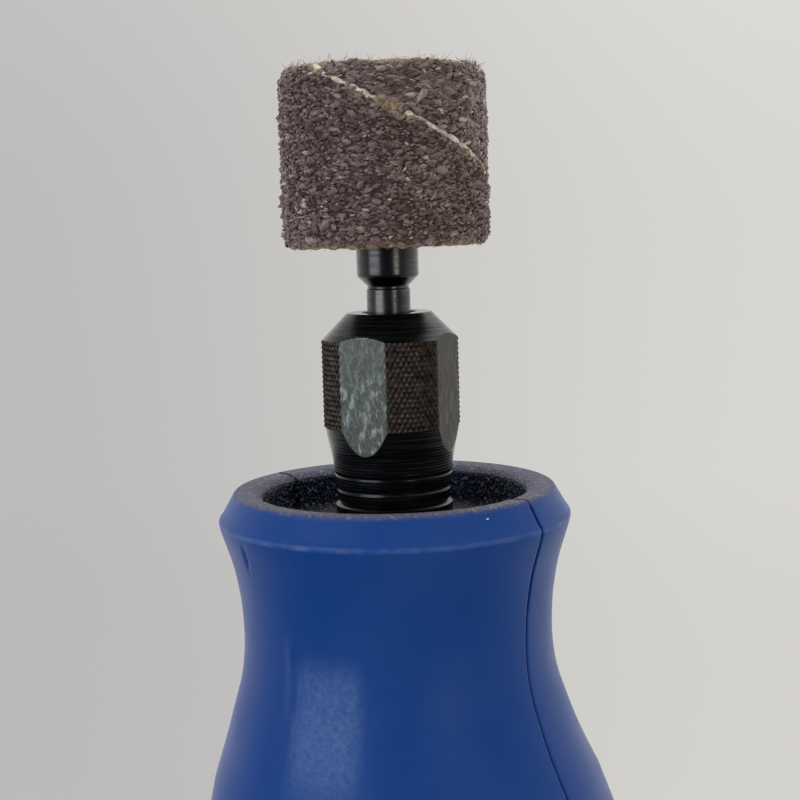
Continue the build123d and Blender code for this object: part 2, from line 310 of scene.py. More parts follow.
class Nodes:
    """Short forms for building a node tree."""

    def __init__(self, name):
        self.material = bpy.data.materials.new(name)
        self.material.use_nodes = True
        self.tree = self.material.node_tree
        self.shader = self.tree.nodes["Principled BSDF"]
        coordinates = self.tree.nodes.new("ShaderNodeTexCoord")
        self.place = coordinates.outputs["Object"]

    def link(self, a, b):
        self.tree.links.new(a, b)

    def put(self, socket, value):
        if hasattr(value, "links") or hasattr(value, "is_output"):
            self.link(value, socket)
        else:
            socket.default_value = value

    def math(self, operation, a, b=0.0, clamp=False):
        n = self.tree.nodes.new("ShaderNodeMath")
        n.operation = operation
        n.use_clamp = clamp
        self.put(n.inputs[0], a)
        self.put(n.inputs[1], b)
        return n.outputs[0]

    def stretched(self, x, y, z):
        n = self.tree.nodes.new("ShaderNodeMapping")
        n.inputs["Scale"].default_value = (x, y, z)
        self.link(self.place, n.inputs["Vector"])
        return n.outputs["Vector"]

    def noise(self, size_mm, detail=3.0, rough=0.55, vector=None):
        n = self.tree.nodes.new("ShaderNodeTexNoise")
        n.inputs["Scale"].default_value = 1000.0 / size_mm
        n.inputs["Detail"].default_value = detail
        n.inputs["Roughness"].default_value = rough
        self.link(vector or self.place, n.inputs["Vector"])
        return n.outputs["Fac"]

    def cells(self, size_mm, what="Distance", feature="F1", vector=None):
        n = self.tree.nodes.new("ShaderNodeTexVoronoi")
        n.feature = feature
        n.inputs["Scale"].default_value = 1000.0 / size_mm
        self.link(vector or self.place, n.inputs["Vector"])
        return n.outputs[what]

    def cell_tone(self, size_mm, channel=0, vector=None):
        """One random value for each cell."""
        n = self.tree.nodes.new("ShaderNodeSeparateColor")
        self.link(self.cells(size_mm, "Color", vector=vector), n.inputs[0])
        return n.outputs[channel]

    def toward(self, direction):
        """Distance along a direction."""
        n = self.tree.nodes.new("ShaderNodeVectorMath")
        n.operation = "DOT_PRODUCT"
        self.link(self.place, n.inputs[0])
        n.inputs[1].default_value = direction
        return n.outputs["Value"]

    def island(self):
        """One random value for each loose part of the mesh."""
        return self.tree.nodes.new("ShaderNodeNewGeometry").outputs["Random Per Island"]

    def times(self, a, b):
        return self.math("MULTIPLY", a, b)

    def ramp(self, value, low, high, a=0.0, b=1.0):
        n = self.tree.nodes.new("ShaderNodeMapRange")
        n.interpolation_type = "SMOOTHSTEP"
        self.link(value, n.inputs["Value"])
        n.inputs["From Min"].default_value = low
        n.inputs["From Max"].default_value = high
        n.inputs["To Min"].default_value = a
        n.inputs["To Max"].default_value = b
        return n.outputs["Result"]

    def span(self, value, low_mm, high_mm, a=0.0, b=1.0):
        """A ramp over a length in millimetres."""
        return self.ramp(value, low_mm * MM, high_mm * MM, a, b)

    def mix(self, factor, a, b):
        n = self.tree.nodes.new("ShaderNodeMix")
        n.data_type = "RGBA"
        self.put(n.inputs["Factor"], factor)
        self.put(n.inputs["A"], a)
        self.put(n.inputs["B"], b)
        return n.outputs["Result"]

    def split(self):
        n = self.tree.nodes.new("ShaderNodeSeparateXYZ")
        self.link(self.place, n.inputs[0])
        return n.outputs

    def radius(self):
        x, y, z = self.split()
        return self.math("SQRT", self.math("ADD", self.times(x, x), self.times(y, y))), z

    def bump(self, height, depth_mm, strength=1.0, before=None):
        n = self.tree.nodes.new("ShaderNodeBump")
        n.inputs["Strength"].default_value = strength
        n.inputs["Distance"].default_value = depth_mm * MM
        self.link(height, n.inputs["Height"])
        if before is not None:
            self.link(before, n.inputs["Normal"])
        return n.outputs["Normal"]

    def done(self, colour, roughness, metal=0.0, normal=None, **constants):
        s = self.shader
        self.put(s.inputs["Base Color"], colour)
        self.put(s.inputs["Roughness"], roughness)
        s.inputs["Metallic"].default_value = metal
        for key, value in constants.items():
            s.inputs[key.replace("_", " ").title().replace("Ior", "IOR")].default_value = value
        if normal is not None:
            self.link(normal, s.inputs["Normal"])
        return self.material


def metal(name, colour, dark, rough=0.35, grain=0.4, depth=0.004, stretch=(1, 1, 1), worn=None):
    """Metal with tone changes, streaks and uneven polish."""
    n = Nodes(name)
    streak = n.noise(grain, 5.0, 0.65, n.stretched(*stretch))
    cloud = n.noise(grain * 9, 2.0)
    tone = n.mix(n.ramp(streak, 0.35, 0.7), dark, colour)
    if worn is not None:
        tone = n.mix(n.ramp(cloud, 0.56, 0.72), tone, worn)
    roughness = n.ramp(streak, 0.3, 0.75, rough * 1.25, rough * 0.8)
    return n.done(tone, roughness, 1.0, n.bump(streak, depth))


def plastic(name, colour, light, rough=0.45, grain=0.25, depth=0.01):
    """Moulded plastic or rubber with a fine eroded texture and faint scuffs."""
    n = Nodes(name)
    fine = n.noise(grain, 4.0, 0.6)
    cloud = n.noise(6.0, 3.0)
    tone = n.mix(n.ramp(cloud, 0.45, 0.8, 0.0, 0.5), colour, light)
    roughness = n.ramp(cloud, 0.3, 0.7, rough * 0.9, rough * 1.12)
    return n.done(tone, roughness, 0.0, n.bump(fine, depth))


def blue_shell_material():
    """Satin blue moulding with a scuffed lip, a gritty recess painted near-black as shade, and painted
    highlights below the nose, along the widest edge and as glints on the lip.
    """
    n = Nodes("blue_moulding")
    radius, z = n.radius()
    blue, pale = srgb(5, 59, 131), srgb(62, 88, 134)
    fine = n.noise(0.34, 4.0, 0.65)
    cloud = n.noise(7.0, 3.0)
    colour = n.mix(n.ramp(cloud, 0.4, 0.75, 0.0, 0.1), blue, pale)
    # dust and nicks: a few small bright cells
    squeezed = n.stretched(0.8, 0.8, 1.9)
    near = n.cells(1.7, vector=squeezed)
    pick = n.cell_tone(1.7, vector=squeezed)
    speck = n.times(n.ramp(near, 0.08, 0.05), n.ramp(pick, 0.88, 0.93))
    colour = n.mix(speck, colour, srgb(205, 212, 225))
    # painted highlight below the nose: a lighter patch standing in for the window's reflection
    turned_away = n.math("DIVIDE", n.toward(bearing(FACING - 25)), radius)
    painted_highlight = n.times(n.ramp(turned_away, 0.966, 0.992), n.span(z, RIM - 9.2, RIM - 12.5))
    painted_highlight = n.times(painted_highlight, n.span(z, RIM - 21.0, RIM - 16.0))
    painted_highlight = n.times(painted_highlight, n.ramp(n.noise(0.45, 5.0, 0.8), 0.3, 0.7, 0.12, 0.5))
    colour = n.mix(painted_highlight, colour, srgb(92, 122, 176))
    # painted highlight along the widest edge, standing in for the glint it catches
    edge = n.times(n.span(z, RIM - 2.36, RIM - 2.2), n.span(z, RIM - 1.86, RIM - 2.04))
    edge = n.times(edge, n.ramp(n.noise(1.6, 4.0, 0.6), 0.3, 0.7, 0.04, 0.3))
    colour = n.mix(edge, colour, srgb(110, 136, 186))
    # scuffed lip
    lip = n.times(n.span(z, RIM - 0.85, RIM - 0.5), n.span(radius, 11.95, 11.6))
    scuff = n.times(lip, n.ramp(n.noise(0.4, 5.0, 0.75), 0.34, 0.6, 0.45, 1.0))
    colour = n.mix(n.times(scuff, 0.9), colour, srgb(104, 99, 101))
    # painted glints: bright specks on the lip standing in for sparkle off its eroded texture
    painted_glints = n.ramp(n.cell_tone(0.2), 0.84, 0.94, 0.0, 0.34)
    colour = n.mix(n.times(lip, painted_glints), colour, srgb(168, 168, 172))
    # gritty recess, painted near-black as shade, with pale specks of dust
    inside = n.times(n.span(radius, 9.85, 9.62), n.span(z, RIM - 3.4, RIM - 3.0))
    grain = n.cells(0.22)
    colour = n.mix(n.times(inside, 0.97), colour, srgb(3, 4, 7))
    dust = n.times(inside, n.ramp(n.cell_tone(0.19, 1), 0.8, 0.9))
    colour = n.mix(n.times(dust, 0.34), colour, srgb(150, 154, 170))
    roughness = n.math("ADD", n.ramp(cloud, 0.3, 0.7, 0.35, 0.44), n.times(scuff, 0.25))
    normal = n.bump(fine, 0.019)
    normal = n.bump(n.times(grain, n.math("MAXIMUM", inside, lip)), 0.14, 1.0, normal)
    return n.done(colour, roughness, 0.0, normal, specular_ior_level=0.22)


def spanner_flat(name, lit_and_dented):
    """Milled flat: one pair marked with spanner dents and painted lighter as lit, the other only rubbed and
    painted darker as shaded.
    """
    n = Nodes(name)
    worn = n.span(n.split()[2], KNURL_HIGH - 2.0, KNURL_HIGH - 3.6, 0.25, 1.0)
    marks = n.noise(0.42, 3.0, 0.6, n.stretched(1.0, 1.0, 0.42))
    fine = n.noise(0.14, 4.0, 0.7, n.stretched(1.0, 1.0, 0.5))
    dent = n.times(n.ramp(marks, 0.5, 0.64), worn)
    if lit_and_dented:
        # painted light: the pair lit by the window gets a lighter tone
        colour = n.mix(n.ramp(fine, 0.3, 0.75), srgb(74, 78, 76), srgb(108, 113, 110))
        colour = n.mix(n.times(dent, 0.6), colour, srgb(158, 165, 161))
    else:
        # painted shade: the pair turned away gets a darker, brownish tone
        colour = n.mix(n.ramp(fine, 0.3, 0.75), srgb(49, 47, 44), srgb(67, 65, 61))
        colour = n.mix(n.times(dent, 0.25), colour, srgb(98, 96, 90))
    normal = n.bump(n.times(marks, worn), 0.055 if lit_and_dented else 0.012, 0.8, n.bump(fine, 0.008))
    return n.done(colour, n.ramp(marks, 0.35, 0.65, 0.48, 0.38), 0.85, normal)


def nut_materials():
    """Black oxide turning, brown oiled knurl, and the two kinds of spanner flat: one pair painted lighter as
    lit, the other darker as shaded.
    """
    turned = Nodes("nut_turned")
    rings = turned.noise(0.12, 2.0, 0.6, turned.stretched(0.03, 0.03, 1.0))
    body = turned.mix(turned.ramp(rings, 0.35, 0.75), srgb(24, 24, 26), srgb(66, 69, 72))
    turned = turned.done(body, 0.25, 0.9, turned.bump(rings, 0.007))
    knurl = Nodes("nut_knurl")
    tone = knurl.noise(0.5, 4.0, 0.7)
    colour = knurl.mix(knurl.ramp(tone, 0.35, 0.75), srgb(36, 32, 29), srgb(88, 77, 70))
    knurl = knurl.done(colour, 0.42, 0.75, knurl.bump(knurl.noise(0.1, 3.0), 0.015))
    return turned, knurl, spanner_flat("nut_flat_lit_dented", True), spanner_flat("nut_flat_shaded_rubbed", False)


def grit_material():
    """Aluminium oxide grains, each with its own brown tone."""
    n = Nodes("oxide_grit")
    own = n.island()
    patches = n.noise(2.4, 3.0, 0.6)
    dark = n.mix(n.ramp(patches, 0.4, 0.65), srgb(86, 63, 62), srgb(106, 87, 86))
    colour = n.mix(n.ramp(own, 0.3, 0.95), dark, srgb(130, 114, 111))
    colour = n.mix(n.ramp(own, 0.97, 0.99), colour, srgb(178, 168, 162))
    return n.done(colour, n.ramp(own, 0.0, 1.0, 0.5, 0.24), 0.0, None)


def cloth_material():
    """Backing cloth and resin, brown between the grains and tan at its frayed edges."""
    n = Nodes("sleeve_backing")
    radius, z = n.radius()
    low = n.span(z, SLEEVE_LOW + 0.75, SLEEVE_LOW + 0.1)
    high = n.span(z, SLEEVE_HIGH - 0.5, SLEEVE_HIGH - 0.05)
    weave = n.noise(0.3, 4.0, 0.7)
    resin = n.mix(n.ramp(weave, 0.3, 0.7), srgb(54, 38, 37), srgb(92, 72, 69))
    tan = n.mix(n.ramp(weave, 0.35, 0.7), srgb(112, 88, 72), srgb(180, 162, 136))
    edge = n.math("MAXIMUM", low, high)
    bore = n.span(radius, SLEEVE_IN + 0.1, SLEEVE_IN)
    colour = n.mix(n.math("MAXIMUM", edge, bore), resin, tan)
    return n.done(colour, 0.85, 0.0, n.bump(weave, 0.08))


MATERIALS = {
    "screw_steel": metal("zinc_screw", srgb(190, 190, 192), srgb(120, 120, 124), 0.3, 0.5),
    "bearing_steel": metal("bearing_ring", srgb(200, 200, 204), srgb(150, 150, 154), 0.16, 0.3, 0.001),
    "spindle_steel": metal("ground_steel", srgb(86, 83, 79), srgb(46, 45, 44), 0.3, 0.2, 0.004,
                           (0.05, 0.05, 1)),
    "black_oxide_steel": metal("black_oxide", srgb(92, 91, 92), srgb(76, 75, 76), 0.25, 0.3, 0.0012,
                               (0.1, 0.1, 1), srgb(101, 99, 97)),
    "laminated_steel": metal("laminations", srgb(96, 98, 102), srgb(36, 38, 42), 0.5, 0.5, 0.05,
                             (0.01, 0.01, 1)),
    "copper": metal("enamelled_copper", srgb(184, 104, 56), srgb(104, 48, 24), 0.35, 0.35, 0.06,
                    (1, 1, 0.15)),
    "brush_brass": metal("drawn_brass", srgb(196, 160, 84), srgb(138, 104, 48), 0.3, 0.4),
    "carbon": metal("graphite", srgb(48, 48, 50), srgb(26, 26, 28), 0.6, 0.2, 0.02),
    "spring_steel": metal("spring_wire", srgb(182, 182, 186), srgb(118, 118, 124), 0.24, 0.6, 0.003),
    "black_rubber": plastic("black_rubber", srgb(28, 28, 29), srgb(58, 57, 56), 0.72, 0.3, 0.03),
    "felt": plastic("wool_felt", srgb(150, 146, 138), srgb(178, 172, 160), 0.95, 0.2, 0.15),
    "hub_plastic": plastic("black_nylon", srgb(34, 34, 36), srgb(60, 60, 62), 0.5, 0.4, 0.015),
    "black_plastic": plastic("black_moulding", srgb(24, 24, 26), srgb(52, 52, 55), 0.46, 0.22, 0.012),
    "circuit_board": plastic("solder_mask", srgb(24, 86, 52), srgb(46, 112, 70), 0.35, 1.2, 0.02),
    "capacitor_film": plastic("capacitor_case", srgb(196, 158, 44), srgb(214, 184, 90), 0.28, 2.0, 0.01),
    "housing_blue": blue_shell_material(),
}
NUT_FINISHES = nut_materials()
GRIT = grit_material()
CLOTH = cloth_material()

node_slots = {s["node"]: s["material_slot"] for s in frame["record"]["subparts"]}
for node, obj in frame["nodes"].items():
    slot_name = node_slots[node]
    if slot_name in MATERIALS:
        obj.data.materials.clear()
        obj.data.materials.append(MATERIALS[slot_name])


# ---- housing shells --------------------------------------------------------------------------------
RECESS_R, RECESS_Z, SPINDLE_HOLE_R = 9.65, RIM - 2.8, 4.75
GLAND_HOLE_R = 7.02
PART_GAP = 0.05                             # half the gap along the parting line
GROOVE_TURN = 0.9                           # how far the rounded parting edge reaches, in degrees
SCREWS = ((-8.6, 160.5), (8.6, 160.5), (-17.5, 127.0), (17.5, 127.0), (-14.5, 7.4), (14.5, 7.4))
SCREW_SINK = 6.0                            # from the parting plane to the seat under a screw's head
BOSS_R, WELL_R, SCREW_R = 3.8, 2.9, 1.5


def outer_line():
    """Outside of the shells, from the gland hole round the tail and nose into the recess."""
    tail = [(GLAND_HOLE_R, 0.0), (12, 0.0), (19.4, 0.0)]
    foot = flowing([(19.4, 0.0), (20.6, 0.12), (21.9, 0.7), (22.9, 2.0), (23.5, 4.0)], 0.5)[1:]
    side = flowing([(23.5, 4.0), (24.3, 12.0), (24.95, 26.0), (BODY_R, 40.0)], 2.0)[1:]
    motor = [(BODY_R, z) for z in np.arange(43.0, 112.1, 3.0)]
    taper = flowing([(BODY_R, 112.0), (24.5, 124.0), (21.4, 136.2), (18.3, 147.5), (15.9, 155.4),
                     (14.4, 160.5)], 0.8)[1:]
    nose = flowing([(14.4, 160.5), (13.26, 163.4), (12.33, 166.2), (11.8, 168.0), (11.53, 169.6),
                    (11.42, 171.4), (11.51, 173.6), (11.72, 175.2), (12.04, 176.8), (12.5, 178.3),
                    (12.76, 179.1)], 0.25)[1:]
    edge = flowing([(12.76, 179.1), (12.9, 179.62), (12.93, 179.9), (12.85, 180.1),
                    (12.66, 180.36)], 0.06)[1:]
    lip = rounded([(12.66, 180.36), (11.72, RIM), (10.2, RIM - 0.1), (RECESS_R, RIM - 0.55),
                   (RECESS_R, RECESS_Z), (SPINDLE_HOLE_R, RECESS_Z)], [0, 0.28, 0.35, 0.3, 0.35, 0], 5)[1:]
    return tail + foot + side + motor + taper + nose + edge + lip


def inner_line():
    """Inside of the shells, from the spindle hole down to the gland hole."""
    line = [(SPINDLE_HOLE_R, 176.8), (7.65, 176.8), (7.65, 174.3), (5.2, 174.3), (5.2, 173.3), (8.2, 173.3),
            (8.2, 167.7), (5.6, 167.7), (5.6, 164.0), (9.0, 163.5)]
    line += [(13.2, 155.5), (15.9, 147.5), (19.0, 136.2), (22.1, 124.0), (23.1, 112.0), (23.1, 40.0),
             (22.5, 26.0), (21.8, 12.0), (20.4, 3.4), (GLAND_HOLE_R, 3.3)]
    return line


def shell_radius(r, z, angle):
    """Small departures from round: fuller belly on the button side, grip ribs, mould crease and nick."""
    if r < 10.4 or z < 8:
        return r
    facing = math.radians(-90)
    belly = math.exp(-((z - 156.0) / 6.5) ** 2)
    r += 0.8 * belly * math.cos(angle - facing)
    turn = math.degrees(angle)
    side = min(abs(apart(turn, s)) for s in (0.0, 180.0))
    if 117 < z < 153:
        wave = max(0.0, math.cos(2 * math.pi * (z - 135.0) / 5.0))
        fade = max(0.0, min(1.0, (38 - side) / 5)) * max(0.0, min(1.0, (153 - z) / 4, (z - 117) / 4))
        r += 0.5 * wave ** 1.5 * fade
    crease = apart(turn, FACING - 38.6 - 0.2 * (z - 169))
    width = 3.2 if crease < 0 else 0.9
    r += 0.21 * math.exp(-((z - 169.9) / 3.2) ** 4) * math.exp(-(crease / width) ** 2)
    nick = apart(turn, FACING - 56.4 + 0.9 * (z - 178.6))
    r -= 0.14 * math.exp(-(nick / 0.9) ** 2) * math.exp(-((z - 178.4) / 0.9) ** 4)
    return r


def shell_half(name, middle):
    """Half of the housing, closed on the parting plane, with slightly softened parting edges."""
    outer, inner = outer_line(), inner_line()
    outline = outer + inner
    count, outer_count = len(outline), len(outer)
    turns = list(np.linspace(GROOVE_TURN - 90, 90 - GROOVE_TURN, 250))
    edge_turns = [90 - GROOVE_TURN * k for k in (0.66, 0.33, 0.0)]
    turns = [-t for t in reversed(edge_turns)] + turns + edge_turns
    verts, faces = [], []
    for s, turn in enumerate(turns):
        angle = math.radians(middle + turn)
        for i, (r, z) in enumerate(outline):
            rough = 0.0
            if i < outer_count and r > RECESS_R - 0.1:
                r = shell_radius(r, z, angle)
                into = (abs(turn) - 90 + GROOVE_TURN) / GROOVE_TURN
                if into > 0.01:
                    rough = 0.09 * noise.noise(Vector((z * 2.3, middle, 4.0))) * (z < 172)
                    fall = 0.3 if z > 174 else 0.15
                    r -= (fall + rough) * into ** 2
            x, y = r * math.cos(math.radians(turn)), r * math.sin(math.radians(turn))
            outside = i < outer_count and r > RECESS_R + 0.4
            wide = 0.075 * max(0.0, min(1.0, (z - 172) / 5)) if outside else 0.0
            x = max(x, PART_GAP + wide + max(-0.03, 0.6 * rough))
            c, si = math.cos(math.radians(middle)), math.sin(math.radians(middle))
            verts.append((x * c - y * si, x * si + y * c, z))
    for s in range(len(turns) - 1):
        for i in range(count):
            j = (i + 1) % count
            a, b = s * count, (s + 1) * count
            faces.append((a + i, b + i, b + j, a + j))
    caps = tessellate_polygon([[Vector((r, z, 0)) for r, z in outline]])
    last = (len(turns) - 1) * count
    faces += [tuple(t) for t in caps]
    faces += [tuple(last + i for i in reversed(t)) for t in caps]
    return mesh_object(name, verts, faces, 32)


def cutters(side):
    """Openings of one shell: vents, slots, bores and screw wells."""
    parts = []
    centre = 0.0 if side > 0 else 180.0

    def cut(outline, origin, out, depth, up=(0, 0, 1)):
        parts.append(prism(outline, looking(origin, out, up), depth))

    for turn in (-56, -34, 34, 56):
        out = bearing(centre + turn)
        across = Vector((-out.y, out.x, 0))
        up = Vector((0, 0, 1)) - across * math.tan(math.radians(18))
        cut(stadium(2.0, 9.4), out * (BODY_R - 4.5) + Vector((0, 0, 110)), out, 8, up)
    for turn in (-48, -32, -16, 0, 16, 32, 48):
        out = bearing(centre + turn)
        cut(stadium(2.0, 11.4), out * (BODY_R - 5.5) + Vector((0, 0, 24)), out, 8)
    cut(circle(4.92, 40), (side * 21.3, 0, BRUSH_Z), (side, 0, 0), 8)
    cut(circle(1.4, 20), (side * 18.0, 0, BAIL_Z), (side, 0, 0), 10)
    cut(circle(5.0, 48), (0, -15.0, LOCK_Z), (0, -1, 0), 12)
    cut([(-2.9, -10.7), (2.9, -10.7), (2.9, 10.7), (-2.9, 10.7)], (0, -13.0, CONTROLS_Z), (0, -1, 0), 16)
    cut([(-2.5, -3.4), (2.5, -3.4), (2.5, 9.4), (-2.5, 9.4)], (0, 18.0, CONTROLS_Z), (0, 1, 0), 12)
    if side > 0:
        for y, z in SCREWS:
            cut(circle(WELL_R + 0.05, 32), (SCREW_SINK - 0.1, y, z), (1, 0, 0), 24)
    verts, faces = [], []
    for v, f in parts:
        faces += [tuple(i + len(verts) for i in face) for face in f]
        verts += v
    return mesh_object("cutter", verts, faces)


def screw_bosses():
    """Posts round the screws, with the wells that their heads sit in, cut off inside the shell's wall."""
    tubes = []
    for y, z in SCREWS:
        line = [(SCREW_R, 0.06), (BOSS_R, 0.06), (BOSS_R, 27.0), (WELL_R, 27.0), (WELL_R, SCREW_SINK),
                (SCREW_R, SCREW_SINK)]
        tubes.append(turned_along(lathe("post", line, 40), (0, y, z), (1, 0, 0)))
    posts = joined("posts", tubes)
    wall = [(max(0.0, r - 0.5), z) for r, z in outer_line() if r > 11.0 and z < RIM - 6]
    line = [(0, 0.6)] + [(r, max(z, 0.6)) for r, z in wall[1:]] + [(0, RIM - 6)]
    core = lathe("core", line, 128, closed=False)
    return combined(posts, core, "INTERSECT")


def make_shells():
    for side, name in ((-1, "housing_left"), (1, "housing_right")):
        shell = shell_half(name + "_shell", 0.0 if side > 0 else 180.0)
        combined(shell, cutters(side), "DIFFERENCE")
        if side > 0:
            shell = joined(name + "_shell", [shell, screw_bosses()])
        shade(shell, 32)
        plain_piece(shell, "housing", "housing_blue", name)


make_shells()


# ---- collet nut ------------------------------------------------------------------------------------
FLAT_DISTANCE = 4.57
FLAT_TURNS = [12.5, 102.5, 192.5, 282.5]
KNURL_R, NUT_BORE = 4.93, 4.02
KNURL_TEETH, KNURL_PITCH = 80, 0.72


def flat_limit(turn):
    """Radius at which the nearest spanner flat cuts the nut off."""
    flat = min(abs(apart(turn, f)) for f in FLAT_TURNS)
    return FLAT_DISTANCE / math.cos(math.radians(flat)) if flat < 60 else 99


def make_nut():
    """Knurled nut: turned taper with fine rings, diamond knurl, four milled flats and a coned top."""
    rows = [(3.9, NUT_LOW), (4.08, NUT_LOW)]
    taper = flowing([(4.12, NUT_LOW + 0.06), (4.25, NUT_LOW + 1.3), (4.42, NUT_LOW + 2.9),
                     (4.7, NUT_LOW + 4.3), (4.92, KNURL_LOW)], 0.07)
    for r, z in taper:
        for middle, width, depth in ((NUT_LOW + 0.95, 0.13, 0.10), (NUT_LOW + 2.0, 0.07, 0.05)):
            r -= depth * math.exp(-((z - middle) / width) ** 2)
        rows.append((r + 0.008 * math.sin(z * 29), z))
    rows += [(KNURL_R, z) for z in np.arange(KNURL_LOW + 0.06, KNURL_HIGH, 0.06)]
    rows += [(KNURL_R - 1.85 * t, KNURL_HIGH + (NUT_HIGH - KNURL_HIGH) * t)
             for t in np.linspace(0.01, 0.95, 26)]
    rows += rounded([(3.17, NUT_HIGH - 0.1), (3.08, NUT_HIGH), (2.0, NUT_HIGH),
                     (1.92, NUT_HIGH - 1.0), (2.5, NUT_HIGH - 1.6), (3.5, NUT_HIGH - 4.4),
                     (NUT_BORE, NUT_HIGH - 4.6)], [0.1, 0.14, 0.12, 0, 0, 0, 0], 3)
    rows.append((NUT_BORE, NUT_LOW + 0.15))
    segments = KNURL_TEETH * 8
    verts, faces, kinds = [], [], []
    for s in range(segments):
        turn = 360.0 * s / segments
        angle = math.radians(turn)
        limit = flat_limit(turn)
        for i, (r, z) in enumerate(rows):
            if r > 4.9 and KNURL_LOW <= z <= KNURL_HIGH:
                around = KNURL_TEETH * 0.5 * angle
                climb = math.pi * (z - KNURL_LOW) / KNURL_PITCH
                a, b = math.sin(around + climb), math.sin(around - climb)
                r += 0.13 * (1 - max(abs(a), abs(b)) ** 1.5) - 0.05
            if i < len(rows) - 1 and r > 3.3:
                r = min(r, limit)
            verts.append((r * math.cos(angle), r * math.sin(angle), z))
    count = len(rows)
    for s in range(segments):
        n = (s + 1) % segments
        turn = 360.0 * (s + 0.5) / segments
        limit = flat_limit(turn)
        for i in range(count):
            j = (i + 1) % count
            faces.append((s * count + i, n * count + i, n * count + j, s * count + j))
            r, z = (rows[i][0] + rows[j][0]) / 2, (rows[i][1] + rows[j][1]) / 2
            if r > limit and i < count - 3 and r > 4.0:
                # kind 2 is the pair painted lighter as lit, kind 3 the pair painted darker as shaded
                kinds.append(2 if (turn - FLAT_TURNS[0] + 45) % 180 < 90 else 3)
            else:
                kinds.append(1 if r > 4.9 and KNURL_LOW <= z <= KNURL_HIGH else 0)
    mesh = bpy.data.meshes.new("collet_nut_detail")
    mesh.from_pydata([(x * MM, y * MM, z * MM) for x, y, z in verts], [], faces)
    for m in NUT_FINISHES:
        mesh.materials.append(m)
    mesh.polygons.foreach_set("material_index", kinds)
    nut = placed("collet_nut_detail", mesh)
    shade(nut, 24)
    finish_piece(nut, "collet_nut", "black_oxide_steel", None, "collet_nut")


make_nut()


# ---- sanding drum ----------------------------------------------------------------------------------
def make_mandrel():
    """Black mandrel: shank, grooved neck, collar and the spigot inside the drum."""
    shank, collar, low = 1.5875, 2.25, SLEEVE_LOW
    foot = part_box("mandrel")[0][2] / MM
    line = rounded([(0, foot), (1.2, foot), (shank, foot + 0.4), (shank, low - 3.1), (1.5, low - 3.0),
                    (1.5, low - 2.85), (2.17, low - 2.2), (collar, low - 2.05), (collar, low), (2.0, low),
                    (2.0, low + 5), (0, low + 5)], [0, 0, 0.1, 0.1, 0, 0.04, 0.05, 0.06, 0, 0, 0.2, 0], 3)
    obj = lathe("mandrel_detail", line, 96, closed=False)
    plain_piece(obj, "mandrel", "black_oxide_steel", "mandrel")


def make_rubber_drum():
    """Rubber drum, its ends crowned by the washers that squeeze it."""
    low, high, bore, outer = SLEEVE_LOW + 0.62, SLEEVE_LOW + 10.2, 2.06, DRUM_R - 0.02
    line = rounded([(bore, low + 0.05), (5.3, low), (outer - 0.25, low + 0.25), (outer, low + 0.8),
                    (outer, high - 0.8), (outer - 0.25, high - 0.2), (5.9, high + 0.18), (5.3, high),
                    (bore, high - 0.05)], 0.3, 4, closed=True)
    obj = lathe("rubber_drum_detail", line, 96)
    plain_piece(obj, "mandrel", "black_rubber", "rubber_drum")


make_mandrel()
make_rubber_drum()

WORN_HEIGHT, WORN_TOP, WORN_FOOT = 1.2, 0.95, 0.46
SEAM_SLOPE = -0.062                         # height lost along the glue seam for each degree turned
SEAM_TURN, SEAM_Z = FACING, SLEEVE_HIGH - 2.85


def sleeve_surface(z):
    """Radius of the backing under the grit, drawn in at both worn edges."""
    d = max(0.0, min(z - SLEEVE_LOW, SLEEVE_HIGH - z))
    inward = WORN_TOP if z > SLEEVE_LOW + 5 else WORN_FOOT
    reach = max(0.0, 1 - d / WORN_HEIGHT)
    return SLEEVE_OUT - inward * (1 - math.sqrt(1 - reach ** 2))


def make_sleeve_backing():
    share = 0.5 - 0.5 * np.cos(np.linspace(0.02, math.pi - 0.02, 96))
    heights = SLEEVE_LOW + (SLEEVE_HIGH - SLEEVE_LOW) * share
    rows = [(sleeve_surface(z), z) for z in heights]
    outside = len(rows)
    rows += [(min(SLEEVE_IN, sleeve_surface(z) - 0.3), z - 0.03) for z in reversed(heights[-14:])]
    rows += [(SLEEVE_IN, SLEEVE_LOW + 0.02)]
    rough_radius = {round(r, 6) for r, z in rows[outside:]}

    def uneven(r, z, angle):
        if round(r, 6) in rough_radius:
            return r
        place = Vector((math.cos(angle) * 9, math.sin(angle) * 9, z * 1.6))
        return r + 0.06 * noise.noise(place) + 0.04 * noise.noise(place * 3.1)

    obj = lathe("sleeve_backing", rows, 420, change=uneven, sharp=60)
    for v in obj.data.vertices:
        d = min(v.co.z / MM - SLEEVE_LOW, SLEEVE_HIGH - v.co.z / MM)
        if d < 0.4:
            v.co.z += 0.16 * MM * noise.noise(v.co * 1500) * (1 if v.co.z / MM > SLEEVE_LOW + 5 else -1)
    finish_piece(obj, "sanding_sleeve", "abrasive", CLOTH, "sanding_sleeve")


GRAINS, TOP_FIBRES, FOOT_FIBRES = 15000, 430, 260


